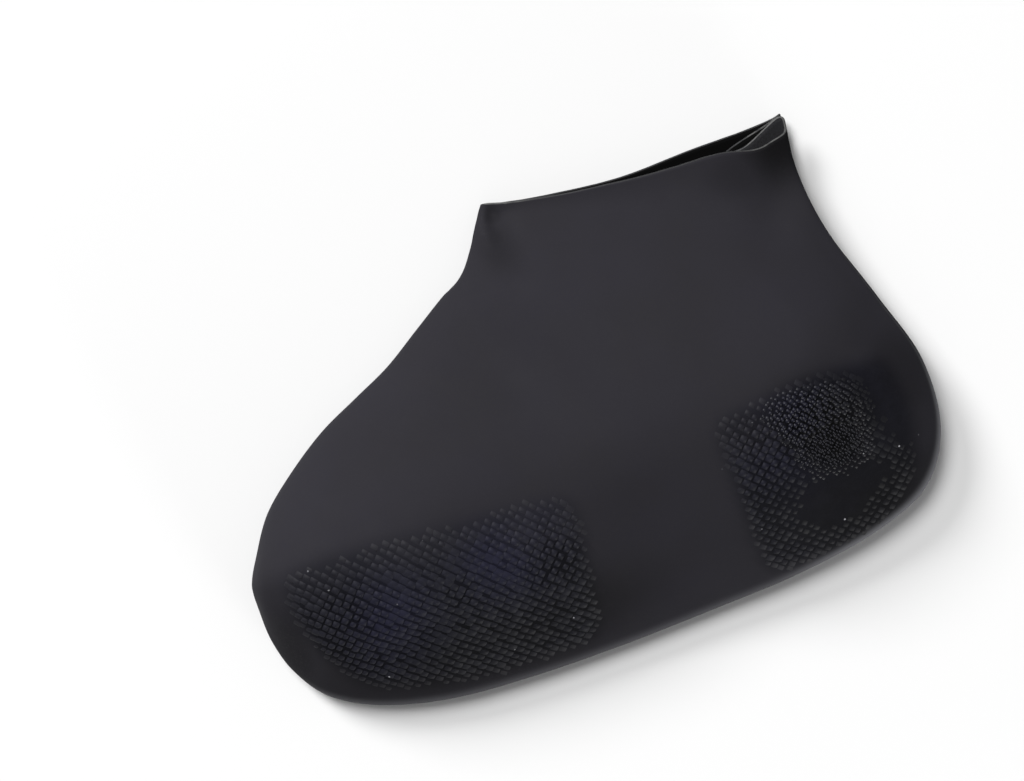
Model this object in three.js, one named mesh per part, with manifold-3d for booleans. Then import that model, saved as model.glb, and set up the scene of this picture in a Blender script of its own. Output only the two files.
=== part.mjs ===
// A dipped latex overshoe, lying on its side. The leg and the instep have sunk nearly flat, while the
// moulded toe, sole and heel still hold some of their shape, so the sole leans up from the surface.
// The real thing is one film of rubber, with a rolled bead round its mouth and a raised tread under the
// ball of the foot and under the heel, so it is one solid here too: an open, hollow wall.
//
// X runs along the foot from the toe (-X) to the heel (+X), Y from the sole to the mouth, and Z up from
// the surface that it lies on. The origin is on that surface, under the middle of the part.
// Sizes are in millimetres.
import * as THREE from "three";
import { mergeVertices } from "three/addons/utils/BufferGeometryUtils.js";
import Module from "manifold-3d";

// Driving sizes
const FOOT_LENGTH = 260; // toe tip to the back of the heel
const LEG_HEIGHT = 171; // sole line to the front corner of the mouth
const LOFT = 46; // how far the heel stands off the surface
const MOUTH_GAP = 14.5; // how far the mouth stands off the surface
const WALL = 1; // the rubber film
const BEAD_DIAMETER = 2; // the rolled edge of the mouth, rolled outwards
const RIM_DIP = 5.7; // how far the near rim sags below the line between the mouth's corners
const TUCK_DEPTH = 23; // the pleat that folds inwards at the back corner of the mouth
const TREAD_RAISE = 0.8; // how far the treads stand proud of the film

// How finely the surfaces are divided
const RINGS_PER_STATION = 2;
const STEPS_PER_POINT = 2;
const BEAD_STEPS = 6;
const TREAD_STEPS = 4;
const TREAD_OUTLINE_POINTS = 44;
const BEAD_START = -0.3 * Math.PI; // where the bead's roll leaves the outer face
const DIFFERENCE = 1e-3; // step of the slopes, in stations and in form points
const MERGE_WITHIN = 1e-4; // points nearer than this are one

// The stations that the foot passes through from the toe tip to the rim. Each is a flat ring, standing
// upright on the line from its front fold (instep or shin) to its back fold (sole or heel).
// along and up are shares of FOOT_LENGTH and LEG_HEIGHT. floor and crest are the ring's lowest and highest
// level, as shares of LOFT. crown is where the crest lies, from the front fold (0) to the back fold (1).
// leg says how far the ring's form has gone over from the foot's to the mouth's, and rim how far the
// mouth's pleat and sag have set in.
const STATION_COLUMNS = [
  "frontAlong", "frontUp", "backAlong", "backUp", "floor", "crest", "crown", "leg", "rim",
];
const STATIONS = [
  [0.002, 0.374, 0.002, 0.374, 0.33, 0.33, 0.5, 0, 0], // toe tip
  [0.02, 0.433, 0.001, 0.314, 0.13, 0.52, 0.48, 0, 0],
  [0.052, 0.51, 0.005, 0.242, 0.03, 0.68, 0.47, 0, 0],
  [0.102, 0.578, 0.022, 0.168, 0, 0.8, 0.47, 0, 0],
  [0.161, 0.641, 0.058, 0.098, 0, 0.88, 0.47, 0, 0],
  [0.222, 0.688, 0.125, 0.044, 0, 0.93, 0.47, 0, 0], // ball of the foot
  [0.277, 0.73, 0.223, 0.011, 0, 0.95, 0.48, 0, 0],
  [0.331, 0.785, 0.338, 0, 0, 0.93, 0.51, 0, 0],
  [0.379, 0.834, 0.469, 0.004, 0, 0.9, 0.54, 0, 0], // waist
  [0.394, 0.846, 0.608, 0.017, 0, 0.91, 0.55, 0, 0],
  [0.408, 0.858, 0.742, 0.031, 0, 0.96, 0.56, 0.03, 0],
  [0.42, 0.874, 0.862, 0.064, 0, 1, 0.57, 0.06, 0], // heel
  [0.429, 0.891, 0.946, 0.126, 0, 1, 0.6, 0.1, 0],
  [0.437, 0.909, 0.991, 0.243, 0, 0.92, 0.66, 0.2, 0],
  [0.444, 0.926, 0.998, 0.391, 0, 0.79, 0.69, 0.38, 0],
  [0.45, 0.943, 0.971, 0.537, 0, 0.64, 0.67, 0.56, 0], // back of the heel
  [0.456, 0.959, 0.94, 0.662, 0, 0.51, 0.62, 0.72, 0.03],
  [0.462, 0.974, 0.921, 0.768, 0, 0.41, 0.56, 0.86, 0.18],
  [0.467, 0.987, 0.914, 0.872, 0, 0.345, 0.52, 0.95, 0.55],
  [0.473, 1, 0.921, 0.962, 0, 0.315, 0.5, 1, 1], // rim
];

// The form of a ring, from the front fold over the upper layer to the back fold, and back along the lower
// layer. across runs from the front fold (0) past the crown (0.5) to the back fold (1), and height from
// the ring's floor (0) to its crest (1), both for a ring of the foot and for one of the mouth.
// tuck is the share of TUCK_DEPTH that the pleat folds inwards, and dip the share of RIM_DIP that the rim
// sags. Where it is less than 0, the rim rises above the line between its corners.
const FORM_COLUMNS = ["footAcross", "footHeight", "mouthAcross", "mouthHeight", "tuck", "dip"];
const FORM = [
  [0, 0.2, 0, 0.28, 0, 0], // front fold
  [0.03, 0.36, 0.02, 0.54, 0, 0.1],
  [0.12, 0.56, 0.1, 0.76, 0, 0.45],
  [0.28, 0.8, 0.26, 0.92, 0, 0.8],
  [0.4, 0.94, 0.4, 0.98, 0, 0.93],
  [0.5, 1, 0.5, 1, 0, 1], // crest
  [0.6, 0.97, 0.62, 1, 0, 0.96],
  [0.74, 0.82, 0.76, 0.98, 0, 0.86],
  [0.86, 0.58, 0.9, 0.95, 0, 1.15],
  [0.93, 0.42, 0.965, 0.9, 0, 0.95],
  [0.965, 0.34, 0.99, 0.8, 0, 0.4], // upper lip of the pleat
  [0.985, 0.28, 0.995, 0.69, 0.3, 0.3],
  [0.996, 0.22, 1, 0.645, 0.8, 0.35],
  [1, 0.17, 1, 0.52, 1, 0.35], // back fold, and the bottom of the pleat
  [0.996, 0.12, 1, 0.395, 0.8, 0.2],
  [0.988, 0.07, 0.995, 0.34, 0.3, -0.1],
  [0.97, 0.03, 0.99, 0.19, 0, -0.5], // lower lip of the pleat
  [0.93, 0, 0.965, 0.04, 0, -0.55],
  [0.8, 0, 0.88, 0, 0, -0.1],
  [0.6, 0, 0.68, 0, 0, 0.25],
  [0.4, 0, 0.45, 0, 0, 0.65],
  [0.2, 0, 0.22, 0, 0, 0.5],
  [0.08, 0, 0.08, 0, 0, 0.25],
  [0.02, 0.06, 0.02, 0.06, 0, 0.05],
];
const CROWN_ACROSS = 0.5;

// Dents and folds in the upper layer. Each lies round a point of the outline, runs at an angle from +X,
// and fades out over its length and width. Its depth is less than 0 where it is a ridge.
// along, length and width are shares of FOOT_LENGTH, up is a share of LEG_HEIGHT, depth is a share of LOFT.
const DENT_COLUMNS = ["along", "up", "angle", "length", "width", "depth"];
const DENTS = [
  [0.492, 0.93, 68, 0.045, 0.014, 0.05], // pinch under the front corner of the mouth
  [0.88, 0.84, 65, 0.07, 0.035, 0.06], // valley running down from the pleat
  [0.58, 0.2, 95, 0.1, 0.07, 0.09], // hollow of the waist
  [0.845, 0.28, 10, 0.045, 0.04, 0.05], // pucker in the heel's tread
  [0.43, 0.66, 130, 0.16, 0.05, 0.035], // slack across the instep
  [0.2, 0.16, 20, 0.09, 0.025, 0.03], // crease in the toe's tread
];
const DENT_FROM = 0.3; // height in a ring, as a share, from which dents press the upper layer in
const DENT_FULL = 0.6; // and above which they press it in fully

// Outlines of the two treads, seen from above: points of a closed curve, as shares of FOOT_LENGTH and
// LEG_HEIGHT.
const TREADS = {
  ball: [
    [0.032, 0.32], [0.041, 0.227], [0.068, 0.141], [0.129, 0.081], [0.252, 0.036], [0.384, 0.03],
    [0.447, 0.05], [0.465, 0.2], [0.464, 0.35], [0.37, 0.375], [0.2, 0.39], [0.07, 0.385],
  ],
  heel: [
    [0.7, 0.405], [0.77, 0.428], [0.83, 0.438], [0.9, 0.438], [0.945, 0.42], [0.959, 0.315],
    [0.951, 0.21], [0.928, 0.15], [0.887, 0.085], [0.82, 0.058], [0.72, 0.056], [0.706, 0.13],
    [0.697, 0.27],
  ],
};
const TREAD_STATIONS = [1, 14.5]; // the stretch of the foot that the treads are raised from
const TREAD_FORM_POINTS = [2, 13]; // and the stretch of each ring

const LAST_STATION = STATIONS.length - 1;
const BEAD_RADIUS = BEAD_DIAMETER / 2;
const RIM_LIFT = BEAD_DIAMETER - WALL; // the outward roll lifts the lower layer off the surface

const asRows = (columns, table) =>
  table.map((values) => Object.fromEntries(columns.map((name, i) => [name, values[i]])));
const stations = asRows(STATION_COLUMNS, STATIONS);
const form = asRows(FORM_COLUMNS, FORM);
const dents = asRows(DENT_COLUMNS, DENTS);

const mix = (a, b, share) => a + (b - a) * share;

// Beyond the toe tip the stations run on as their own mirror image, so that the tip comes out round.
// Beyond the rim they run straight on.
function stationAt(index) {
  if (index < 0) {
    const s = stations[-index];
    return {
      ...s, frontAlong: s.backAlong, frontUp: s.backUp, backAlong: s.frontAlong, backUp: s.frontUp,
      floor: s.crest, crest: s.floor,
    };
  }
  if (index <= LAST_STATION) return stations[index];
  const [last, before] = [stations[LAST_STATION], stations[LAST_STATION - 1]];
  return Object.fromEntries(STATION_COLUMNS.map((name) => [name, 2 * last[name] - before[name]]));
}

// A smooth curve through the values p1 and p2 of four neighbours.
function smooth(p0, p1, p2, p3, t) {
  const bend = 2 * p0 - 5 * p1 + 4 * p2 - p3 + t * (3 * (p1 - p2) + p3 - p0);
  return p1 + 0.5 * t * (p2 - p0 + t * bend);
}

// The row of a table at a place between its rows.
function between(rowAt, columns, place) {
  const i = Math.floor(place);
  const rows = [rowAt(i - 1), rowAt(i), rowAt(i + 1), rowAt(i + 2)];
  const value = (name) => smooth(...rows.map((row) => row[name]), place - i);
  return Object.fromEntries(columns.map((name) => [name, value(name)]));
}

function station(place) {
  return between(stationAt, STATION_COLUMNS, Math.min(place, LAST_STATION + DIFFERENCE));
}

function formPoint(place) {
  return between((i) => form[(i + form.length) % form.length], FORM_COLUMNS, place);
}

// How far the dents press the upper layer in at a point of the outline.
function dentDepth(x, y) {
  let depth = 0;
  for (const d of dents) {
    const angle = THREE.MathUtils.degToRad(d.angle);
    const dx = x - d.along * FOOT_LENGTH;
    const dy = y - d.up * LEG_HEIGHT;
    const lengthwise = (dx * Math.cos(angle) + dy * Math.sin(angle)) / (d.length * FOOT_LENGTH);
    const sideways = (dy * Math.cos(angle) - dx * Math.sin(angle)) / (d.width * FOOT_LENGTH);
    depth += d.depth * LOFT * Math.exp(-(lengthwise ** 2) - sideways ** 2);
  }
  return depth;
}

// A point of the outer face: around counts form points, and place counts stations.
function outerPoint(around, place) {
  const s = station(place);
  const f = formPoint(around);
  const front = new THREE.Vector2(s.frontAlong * FOOT_LENGTH, s.frontUp * LEG_HEIGHT);
  const back = new THREE.Vector2(s.backAlong * FOOT_LENGTH, s.backUp * LEG_HEIGHT);
  const chord = back.clone().sub(front);
  const width = Math.max(chord.length(), DIFFERENCE);

  const plain = mix(f.footAcross, f.mouthAcross, s.leg);
  const toCrown = plain / CROWN_ACROSS;
  const pastCrown = (plain - CROWN_ACROSS) / (1 - CROWN_ACROSS);
  const across = plain < CROWN_ACROSS ? toCrown * s.crown : mix(s.crown, 1, pastCrown);
  const tucked = across - (f.tuck * s.rim * TUCK_DEPTH) / width;

  const height = Math.max(0, mix(f.footHeight, f.mouthHeight, s.leg));
  const floor = s.floor * LOFT + s.rim * RIM_LIFT;
  const crest = mix(s.crest * LOFT, MOUTH_GAP, s.rim);
  const flat = front.clone().addScaledVector(chord, tucked);
  const dip = (f.dip * s.rim * RIM_DIP) / width;
  flat.x += chord.y * dip;
  flat.y -= chord.x * dip;

  const pressed = THREE.MathUtils.smoothstep(height, DENT_FROM, DENT_FULL) * (1 - s.rim);
  const z = floor + height * (crest - floor) - pressed * dentDepth(flat.x, flat.y);
  return new THREE.Vector3(flat.x, flat.y, z);
}

// The outward normal and the direction towards the rim, at a point of the outer face.
function directions(around, place) {
  const ahead = outerPoint(around + DIFFERENCE, place);
  const aside = ahead.sub(outerPoint(around - DIFFERENCE, place)).normalize();
  const upward = outerPoint(around, place + DIFFERENCE).sub(outerPoint(around, place - DIFFERENCE));
  const normal = aside.clone().cross(upward).normalize();
  return { normal, towardsRim: normal.clone().cross(aside) };
}

function offsetPoint(around, place, distance) {
  const { normal } = directions(around, place);
  return outerPoint(around, place).addScaledVector(normal, distance);
}

// One ring of points, made by a function of the place round the ring.
function ring(pointAt) {
  const points = [];
  for (let i = 0; i < form.length * STEPS_PER_POINT; i++) points.push(pointAt(i / STEPS_PER_POINT));
  return points;
}

// The rolled bead, as rings round its circle from the outer face over the top to the inner face.
function beadRings() {
  const rings = [];
  for (let k = 0; k <= BEAD_STEPS; k++) {
    const angle = mix(BEAD_START, Math.PI, k / BEAD_STEPS);
    rings.push(
      ring((around) => {
        const { normal, towardsRim } = directions(around, LAST_STATION);
        return outerPoint(around, LAST_STATION)
          .addScaledVector(normal, BEAD_RADIUS - WALL + BEAD_RADIUS * Math.cos(angle))
          .addScaledVector(towardsRim, BEAD_RADIUS * Math.sin(angle));
      }),
    );
  }
  return rings;
}

// A closed geometry of rings that all hold the same number of points, with a point at each end.
function closedTube(firstPoint, rings, lastPoint) {
  const count = rings[0].length;
  const points = [firstPoint, ...rings.flat(), lastPoint];
  const at = (j, i) => 1 + j * count + (i % count);
  const last = points.length - 1;
  const faces = [];
  for (let i = 0; i < count; i++) {
    faces.push([0, at(0, i + 1), at(0, i)]);
    faces.push([last, at(rings.length - 1, i), at(rings.length - 1, i + 1)]);
    for (let j = 0; j + 1 < rings.length; j++) {
      faces.push([at(j, i), at(j, i + 1), at(j + 1, i + 1)]);
      faces.push([at(j, i), at(j + 1, i + 1), at(j + 1, i)]);
    }
  }
  return indexed(points, faces);
}

function indexed(points, faces) {
  return new THREE.BufferGeometry().setFromPoints(points).setIndex(faces.flat());
}

// The hollow wall: its outer face from the toe tip to the rim, the bead, and its inner face back again.
function shellGeometry() {
  const places = [];
  for (let k = 1; k < LAST_STATION * RINGS_PER_STATION; k++) places.push(k / RINGS_PER_STATION);
  const outer = places.map((place) => ring((around) => outerPoint(around, place)));
  const inner = places.map((place) => ring((around) => offsetPoint(around, place, -WALL)));
  const toe = outerPoint(0, 0);
  const insideToe = toe.clone().setX(toe.x + WALL);
  return closedTube(toe, [...outer, ...beadRings(), ...inner.reverse()], insideToe);
}

// A slab that follows the outer face where the treads lie, rooted half way into the film and raised above it.
function treadSlabGeometry() {
  const [firstPlace, lastPlace] = TREAD_STATIONS;
  const [firstPoint, lastPoint] = TREAD_FORM_POINTS;
  const rows = Math.round((lastPlace - firstPlace) * RINGS_PER_STATION);
  const columns = Math.round((lastPoint - firstPoint) * TREAD_STEPS);
  const points = [];
  for (const distance of [TREAD_RAISE, -WALL / 2]) {
    for (let j = 0; j <= rows; j++) {
      for (let i = 0; i <= columns; i++) {
        const around = mix(firstPoint, lastPoint, i / columns);
        points.push(offsetPoint(around, mix(firstPlace, lastPlace, j / rows), distance));
      }
    }
  }
  const at = (layer, j, i) => (layer * (rows + 1) + j) * (columns + 1) + i;
  const faces = [];
  const quad = (a, b, c, d) => faces.push([a, b, c], [a, c, d]);
  for (let j = 0; j < rows; j++) {
    for (let i = 0; i < columns; i++) {
      quad(at(0, j, i), at(0, j, i + 1), at(0, j + 1, i + 1), at(0, j + 1, i));
      quad(at(1, j, i), at(1, j + 1, i), at(1, j + 1, i + 1), at(1, j, i + 1));
    }
    quad(at(0, j, 0), at(0, j + 1, 0), at(1, j + 1, 0), at(1, j, 0));
    quad(at(0, j, columns), at(1, j, columns), at(1, j + 1, columns), at(0, j + 1, columns));
  }
  for (let i = 0; i < columns; i++) {
    quad(at(0, 0, i), at(1, 0, i), at(1, 0, i + 1), at(0, 0, i + 1));
    quad(at(0, rows, i), at(0, rows, i + 1), at(1, rows, i + 1), at(1, rows, i));
  }
  return indexed(points, faces);
}

// An upright block of a tread's outline, taller than the part, that cuts the tread out of the slab.
function treadCutter(outline) {
  const scaled = outline.map(([along, up]) => new THREE.Vector3(along * FOOT_LENGTH, up * LEG_HEIGHT, 0));
  const curve = new THREE.CatmullRomCurve3(scaled, true, "centripetal");
  const corners = curve.getPoints(TREAD_OUTLINE_POINTS).map((p) => new THREE.Vector2(p.x, p.y));
  const shape = new THREE.Shape(corners);
  return new THREE.ExtrudeGeometry(shape, { depth: 2 * LOFT, bevelEnabled: false });
}

const wasm = await Module();
wasm.setup();

function solid(geometry) {
  geometry.deleteAttribute("normal");
  geometry.deleteAttribute("uv");
  const merged = mergeVertices(geometry, MERGE_WITHIN);
  return new wasm.Manifold(
    new wasm.Mesh({
      numProp: 3,
      vertProperties: new Float32Array(merged.attributes.position.array),
      triVerts: new Uint32Array(merged.index.array),
    }),
  );
}

function geometryOf(body) {
  const { numProp, vertProperties, triVerts } = body.getMesh();
  const positions = new THREE.InterleavedBuffer(vertProperties, numProp);
  const geometry = new THREE.BufferGeometry();
  geometry.setAttribute("position", new THREE.InterleavedBufferAttribute(positions, 3, 0));
  geometry.setIndex(new THREE.BufferAttribute(triVerts, 1));
  return geometry;
}

function overshoeGeometry() {
  const slab = solid(treadSlabGeometry());
  let body = solid(shellGeometry());
  for (const outline of Object.values(TREADS)) body = body.add(slab.intersect(solid(treadCutter(outline))));
  const geometry = geometryOf(body);
  geometry.computeVertexNormals();
  return geometry;
}

const latex = new THREE.MeshStandardMaterial({ color: 0x36363a, roughness: 0.62, metalness: 0 });

const shell = new THREE.Mesh(overshoeGeometry(), latex);
shell.name = "latex_shell";
const box = new THREE.Box3().setFromObject(shell);
shell.position.set(-(box.min.x + box.max.x) / 2, -(box.min.y + box.max.y) / 2, -box.min.z);

const overshoe = new THREE.Group();
overshoe.add(shell);
export default overshoe;
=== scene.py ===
# %% [markdown]
# # A black latex overshoe, lying on its side
#
# A latex overshoe is made by dipping a foot-shaped mould: one soft film, about a millimetre thick, with
# its edge rolled into a bead and a knobbly tread moulded under the ball of the foot and the heel. Lying
# on a table it half collapses. The leg goes nearly flat, while the toe, sole and heel keep some shape.
#
# We build it in metres around a frame that is already there: the plain solid that the simulation uses.

# %% Load the frame
import math

import bpy
import numpy as np
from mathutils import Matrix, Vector
from mathutils.bvhtree import BVHTree


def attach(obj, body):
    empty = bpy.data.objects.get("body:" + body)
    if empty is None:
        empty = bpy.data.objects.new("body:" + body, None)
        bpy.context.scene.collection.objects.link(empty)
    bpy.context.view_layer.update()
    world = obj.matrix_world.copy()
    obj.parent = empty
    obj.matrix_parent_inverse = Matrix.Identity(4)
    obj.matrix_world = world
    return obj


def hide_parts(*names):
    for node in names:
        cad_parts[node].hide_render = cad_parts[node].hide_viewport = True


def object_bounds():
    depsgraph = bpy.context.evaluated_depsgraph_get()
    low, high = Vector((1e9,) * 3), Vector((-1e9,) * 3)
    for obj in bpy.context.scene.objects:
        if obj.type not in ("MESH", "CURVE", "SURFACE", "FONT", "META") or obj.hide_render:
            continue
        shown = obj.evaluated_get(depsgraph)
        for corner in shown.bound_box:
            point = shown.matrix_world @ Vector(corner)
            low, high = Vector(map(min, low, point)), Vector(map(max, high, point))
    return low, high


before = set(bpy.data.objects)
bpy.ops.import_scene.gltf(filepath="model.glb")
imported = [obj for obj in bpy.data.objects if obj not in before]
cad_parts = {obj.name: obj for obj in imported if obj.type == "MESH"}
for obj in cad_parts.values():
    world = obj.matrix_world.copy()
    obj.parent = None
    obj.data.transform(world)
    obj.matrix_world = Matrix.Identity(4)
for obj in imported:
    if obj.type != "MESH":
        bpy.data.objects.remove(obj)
cad_low, cad_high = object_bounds()
print("frame box, mm:", [round(1000 * value, 1) for value in cad_high - cad_low])

# %% [markdown]
# ## Sizes
#
# The outline's length and height come from the frame's box, so the looks follow the solid if it ever
# changes. The film, the bead and the tread's knobs have sizes of their own.

# %% Name the sizes
MM = 0.001
LENGTH_SHARE, HEIGHT_SHARE, LOFT_SHARE = 1.0011, 0.9942, 0.973  # of the frame's box
FOOT_LENGTH = LENGTH_SHARE * (cad_high.x - cad_low.x)
LEG_HEIGHT = HEIGHT_SHARE * (cad_high.y - cad_low.y)
LOFT = LOFT_SHARE * (cad_high.z - cad_low.z)
MOUTH_GAP = 14.5 * MM
WALL = 1.0 * MM
BEAD_RADIUS = 0.5 * MM
RIM_LIFT = 1.0 * MM
RIM_DIP = 5.7 * MM
TUCK_DEPTH = 23 * MM
print("foot length, leg height, loft, mm:", [round(v / MM, 1) for v in (FOOT_LENGTH, LEG_HEIGHT, LOFT)])

# %% [markdown]
# ## The stations of the foot
#
# A sock-like form could be sculpted, or subdivided from a cage. Here it is lofted, because a few rings
# say exactly where the toe, ball, waist, heel and leg lie. Each ring stands upright on a line from its
# front fold (instep or shin) to its back fold (sole or heel). `along` and `up` are shares of the foot's
# length and the leg's height; `floor` and `crest` are the ring's lowest and highest level, as shares of
# the loft; `crown` is where the crest lies between the folds; `leg` and `rim` say how far the ring has
# turned from a foot's form to a mouth's.

# %% Write the stations
STATION_COLUMNS = (
    "front_along", "front_up", "back_along", "back_up", "floor", "crest", "crown", "leg", "rim",
)
STATIONS = [
    (0.002, 0.374, 0.002, 0.374, 0.33, 0.33, 0.5, 0, 0),  # toe tip
    (0.02, 0.433, -0.001, 0.314, 0.13, 0.52, 0.48, 0, 0),
    (0.052, 0.51, 0.002, 0.242, 0.03, 0.68, 0.47, 0, 0),
    (0.102, 0.578, 0.019, 0.166, 0, 0.8, 0.47, 0, 0),
    (0.161, 0.641, 0.056, 0.094, 0, 0.88, 0.47, 0, 0),
    (0.222, 0.688, 0.125, 0.04, 0, 0.93, 0.47, 0, 0),  # ball of the foot
    (0.277, 0.73, 0.223, 0.008, 0, 0.95, 0.48, 0, 0),
    (0.331, 0.785, 0.338, 0, 0, 0.93, 0.51, 0, 0),
    (0.379, 0.834, 0.469, 0.004, 0, 0.9, 0.54, 0, 0),  # waist
    (0.394, 0.846, 0.608, 0.017, 0, 0.91, 0.55, 0, 0),
    (0.408, 0.858, 0.742, 0.034, 0, 0.96, 0.56, 0.03, 0),
    (0.42, 0.874, 0.862, 0.069, 0, 1, 0.57, 0.06, 0),  # heel
    (0.429, 0.891, 0.949, 0.128, 0, 1, 0.6, 0.1, 0),
    (0.437, 0.909, 0.994, 0.241, 0, 0.92, 0.66, 0.2, 0),
    (0.444, 0.926, 0.998, 0.391, 0, 0.79, 0.69, 0.38, 0),
    (0.45, 0.943, 0.968, 0.537, 0, 0.64, 0.67, 0.56, 0),  # back of the heel
    (0.456, 0.959, 0.94, 0.662, 0, 0.51, 0.62, 0.72, 0.03),
    (0.462, 0.974, 0.923, 0.768, 0, 0.41, 0.56, 0.86, 0.18),
    (0.467, 0.987, 0.917, 0.872, 0, 0.345, 0.52, 0.95, 0.55),
    (0.473, 1, 0.922, 0.962, 0, 0.315, 0.5, 1, 1),  # rim
]
LAST_STATION = len(STATIONS) - 1
print("stations from toe to rim:", len(STATIONS))

# %% [markdown]
# ## The form of one ring
#
# Each row is a point of the ring, from the front fold over the upper layer to the back fold, and back
# along the lower layer. A ring of the foot is full and rounded. A ring of the mouth is a flat slit whose
# back fold is pleated inwards, as a paper bag's side is: `tuck` is the pleat, and `dip` the sag of the
# rim that lets the nested edges of the pleat show from above.

# %% Write the ring's form
FORM_COLUMNS = ("foot_across", "foot_height", "mouth_across", "mouth_height", "tuck", "dip")
FORM = [
    (0, 0.2, 0, 0.28, 0, 0),  # front fold
    (0.03, 0.36, 0.02, 0.54, 0, 0.1),
    (0.12, 0.56, 0.1, 0.76, 0, 0.45),
    (0.28, 0.8, 0.26, 0.92, 0, 0.8),
    (0.4, 0.94, 0.4, 0.98, 0, 0.93),
    (0.5, 1, 0.5, 1, 0, 1),  # crest
    (0.6, 0.97, 0.62, 1, 0, 0.96),
    (0.74, 0.82, 0.76, 0.98, 0, 0.86),
    (0.86, 0.58, 0.875, 0.95, 0, 1.2),
    (0.93, 0.42, 0.935, 0.9, 0, 0.95),
    (0.965, 0.34, 0.985, 0.82, 0, 0.5),  # upper lip of the pleat
    (0.985, 0.28, 0.99, 0.72, 0.08, -0.45),
    (0.996, 0.22, 1, 0.66, 0.75, 0.8),
    (1, 0.17, 1, 0.53, 1.06, 0.84),  # back fold, and the bottom of the pleat
    (0.996, 0.12, 1, 0.4, 0.8, 0.38),
    (0.988, 0.07, 0.99, 0.34, 0.3, -0.2),
    (0.97, 0.03, 0.988, 0.19, 0, -0.69),  # lower lip of the pleat
    (0.93, 0, 0.955, 0.04, 0, -0.52),
    (0.8, 0, 0.86, 0, 0, -0.25),
    (0.6, 0, 0.68, 0, 0, 0.07),
    (0.4, 0, 0.45, 0, 0, 0.6),
    (0.2, 0, 0.22, 0, 0, 0.5),
    (0.08, 0, 0.08, 0, 0, 0.25),
    (0.02, 0.06, 0.02, 0.06, 0, 0.05),
]
CROWN_ACROSS = 0.5
print("points in a ring:", len(FORM))

# %% [markdown]
# ## Dents and creases
#
# Thin rubber that has been handled is never perfectly smooth. Each row is one dent, with its middle as
# shares of length and height, its direction in degrees from the sole line, its half length and half
# width as shares of the length, and its depth as a share of the loft. A depth below 0 is a ridge.

# %% Write the dents
DENTS = [
    (0.492, 0.93, 68, 0.045, 0.014, 0.05),  # pinch under the front corner of the mouth
    (0.88, 0.84, 65, 0.07, 0.035, 0.06),  # valley running down from the pleat
    (0.58, 0.2, 95, 0.1, 0.07, 0.09),  # hollow of the waist
    (0.845, 0.28, 10, 0.045, 0.04, 0.05),  # pucker in the heel's tread
    (0.43, 0.66, 130, 0.16, 0.05, 0.035),  # slack across the instep
    (0.2, 0.16, 20, 0.09, 0.025, 0.03),  # crease in the toe's tread
]
FINE_DENTS = [
    (0.484, 0.965, 72, 0.024, 0.011, 0.05),  # dimple right of the front corner
    (0.466, 0.95, 84, 0.022, 0.005, -0.014),  # fold edge under the front corner
    (0.455, 0.055, 70, 0.02, 0.005, 0.045),  # creases where the ball's tread ends
    (0.44, 0.06, 64, 0.016, 0.004, 0.04),
    (0.468, 0.075, 78, 0.018, 0.004, 0.035),
    (0.82, 0.16, 35, 0.05, 0.018, 0.02),  # soft hollow in the heel's tread
    (0.95, 0.8, 70, 0.05, 0.02, 0.03),
]
print("dents and fine dents:", len(DENTS), len(FINE_DENTS))

# %% [markdown]
# ## Reading a table smoothly
#
# Between two rows we want a smooth value, so a Catmull-Rom curve runs through them. The ring's form is
# closed, so it wraps round. Before the toe tip the stations go on as their own mirror image, which makes
# the tip come out round, and past the rim they run straight on.

# %% Read a table between its rows
def smooth_rows(table, places):
    """Rows of a padded table (2 rows before the first, 3 after the last) at fractional places."""
    places = np.asarray(places, float)
    start = np.floor(places).astype(int)
    t = (places - start)[..., None]
    p0, p1, p2, p3 = (table[start + step + 1] for step in range(4))
    return p1 + 0.5 * t * (p2 - p0 + t * (2 * p0 - 5 * p1 + 4 * p2 - p3 + t * (3 * (p1 - p2) + p3 - p0)))


def padded_stations():
    rows = np.array(STATIONS, float)
    mirrored = rows[[2, 1]][:, [2, 3, 0, 1, 5, 4, 6, 7, 8]]
    beyond = [rows[-1] + step * (rows[-1] - rows[-2]) for step in (1, 2, 3)]
    return np.vstack([mirrored, rows, beyond])


def padded_form():
    rows = np.array(FORM, float)
    return np.vstack([rows[-2:], rows, rows[:3]])


STATION_TABLE = padded_stations()
FORM_TABLE = padded_form()


def station_at(place):
    return dict(zip(STATION_COLUMNS, np.moveaxis(smooth_rows(STATION_TABLE, place), -1, 0)))


def form_at(around):
    return dict(zip(FORM_COLUMNS, np.moveaxis(smooth_rows(FORM_TABLE, around % len(FORM)), -1, 0)))


print("height of the front fold at the rim, share:", round(float(station_at(LAST_STATION)["front_up"]), 3))

# %% [markdown]
# ## The film's surface
#
# One function gives any point of the outer face, from the place round the ring and the place along the
# foot. Everything else, from the wall to the tread, stands on this surface.

# %% Work out points of the outer face
DENT_FROM, DENT_FULL = 0.3, 0.6
WAVE_DEPTH = 0.12 * MM


def smoothstep(value, low, high):
    share = np.clip((value - low) / (high - low), 0, 1)
    return share * share * (3 - 2 * share)


def mix(a, b, share):
    return a + (b - a) * share


def dent_depth(x, y, table):
    depth = np.zeros_like(x)
    for along, up, degrees, length, width, share in table:
        angle = math.radians(degrees)
        dx, dy = x - along * FOOT_LENGTH, y - up * LEG_HEIGHT
        lengthwise = (dx * math.cos(angle) + dy * math.sin(angle)) / (length * FOOT_LENGTH)
        sideways = (dy * math.cos(angle) - dx * math.sin(angle)) / (width * FOOT_LENGTH)
        depth += share * LOFT * np.exp(-(lengthwise**2) - sideways**2)
    return depth


def slack(x, y):
    """Slight waves of rubber that isn't stretched over anything."""
    short = np.sin(x / (9 * MM) + 1.3 * np.sin(y / (21 * MM))) * np.sin(y / (13 * MM) + 0.7)
    long = np.sin((x + 1.7 * y) / (17 * MM) + 2.1)
    return WAVE_DEPTH * (short + 0.6 * long)


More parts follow.
